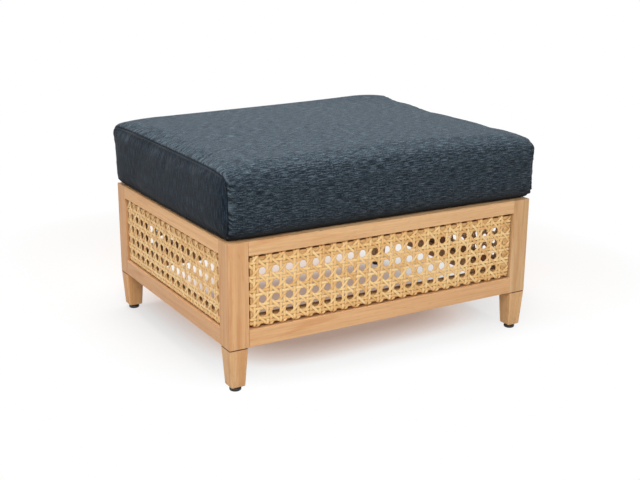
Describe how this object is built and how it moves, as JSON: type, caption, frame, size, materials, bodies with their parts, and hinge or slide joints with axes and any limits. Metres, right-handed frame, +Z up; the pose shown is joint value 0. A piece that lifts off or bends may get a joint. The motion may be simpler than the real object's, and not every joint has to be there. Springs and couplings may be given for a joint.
{
  "type": "outdoor ottoman footstool",
  "caption": "Square-edged outdoor ottoman: wooden box with tapered legs and woven cane sides, slatted seat, loose crowned cushion with a zipped cover.",
  "frame": {"origin": "on the floor, under the middle of the footstool", "axes": "+X along the long side, +Y to the back, +Z up"},
  "size_m": [0.7278, 0.5861, 0.4512],
  "materials": {
    "oiled_hardwood": "satin",
    "inner_softwood": "matte",
    "woven_cane": "satin",
    "zinc_steel": "satin",
    "black_glide": "satin",
    "slate_fabric": "matte",
    "cushion_foam": "matte",
    "zip_tape": "matte",
    "zip_metal": "satin"
  },
  "bodies": {
    "frame": {"top_rail_front": "oiled_hardwood", "bottom_rail_front": "oiled_hardwood", "cane_panel_front": "woven_cane", "panel_frame_front": "inner_softwood", "top_rail_right": "oiled_hardwood", "bottom_rail_right": "oiled_hardwood", "cane_panel_right": "woven_cane", "panel_frame_right": "inner_softwood", "top_rail_back": "oiled_hardwood", "bottom_rail_back": "oiled_hardwood", "cane_panel_back": "woven_cane", "panel_frame_back": "inner_softwood", "top_rail_left": "oiled_hardwood", "bottom_rail_left": "oiled_hardwood", "cane_panel_left": "woven_cane", "panel_frame_left": "inner_softwood", "post_front_left": "oiled_hardwood", "leg_front_left": "oiled_hardwood", "leg_bolt_front_left": "zinc_steel", "glide_insert_front_left": "zinc_steel", "post_front_right": "oiled_hardwood", "leg_front_right": "oiled_hardwood", "leg_bolt_front_right": "zinc_steel", "glide_insert_front_right": "zinc_steel", "post_back_right": "oiled_hardwood", "leg_back_right": "oiled_hardwood", "leg_bolt_back_right": "zinc_steel", "glide_insert_back_right": "zinc_steel", "post_back_left": "oiled_hardwood", "leg_back_left": "oiled_hardwood", "leg_bolt_back_left": "zinc_steel", "glide_insert_back_left": "zinc_steel", "seat_slat_1": "inner_softwood", "seat_slat_2": "inner_softwood", "seat_slat_3": "inner_softwood", "seat_slat_4": "inner_softwood", "seat_slat_5": "inner_softwood", "seat_slat_6": "inner_softwood", "seat_slat_7": "inner_softwood", "slat_cleat_front": "inner_softwood", "slat_cleat_back": "inner_softwood", "centre_bearer": "inner_softwood"},
    "glide_front_left": {"glide_front_left": "black_glide"},
    "glide_front_right": {"glide_front_right": "black_glide"},
    "glide_back_right": {"glide_back_right": "black_glide"},
    "glide_back_left": {"glide_back_left": "black_glide"},
    "cushion": {"cushion_cover": "slate_fabric", "cushion_foam": "cushion_foam", "zip_tape": "zip_tape"},
    "slider": {"zip_slider": "zip_metal"},
    "pull": {"zip_pull": "zip_metal"}
  },
  "joints": [
    {"name": "glide_level_front_left", "type": "slide", "parent": "frame", "child": "glide_front_left", "axis": [0, 0, -1], "range_m": [0, 0.008]},
    {"name": "glide_level_front_right", "type": "slide", "parent": "frame", "child": "glide_front_right", "axis": [0, 0, -1], "range_m": [0, 0.008]},
    {"name": "glide_level_back_right", "type": "slide", "parent": "frame", "child": "glide_back_right", "axis": [0, 0, -1], "range_m": [0, 0.008]},
    {"name": "glide_level_back_left", "type": "slide", "parent": "frame", "child": "glide_back_left", "axis": [0, 0, -1], "range_m": [0, 0.008]},
    {"name": "cushion_lift", "type": "slide", "parent": "frame", "child": "cushion", "axis": [0, 0, 1], "range_m": [0, 0.3]},
    {"name": "zip_run", "type": "slide", "parent": "cushion", "child": "slider", "axis": [1, 0, 0], "range_m": [0, 0.502]},
    {"name": "pull_swing", "type": "hinge", "parent": "slider", "child": "pull", "pos_m": [-0.251, 0.2928, 0.3663], "axis": [1, 0, 0], "range_deg": [0, 170]}
  ]
}
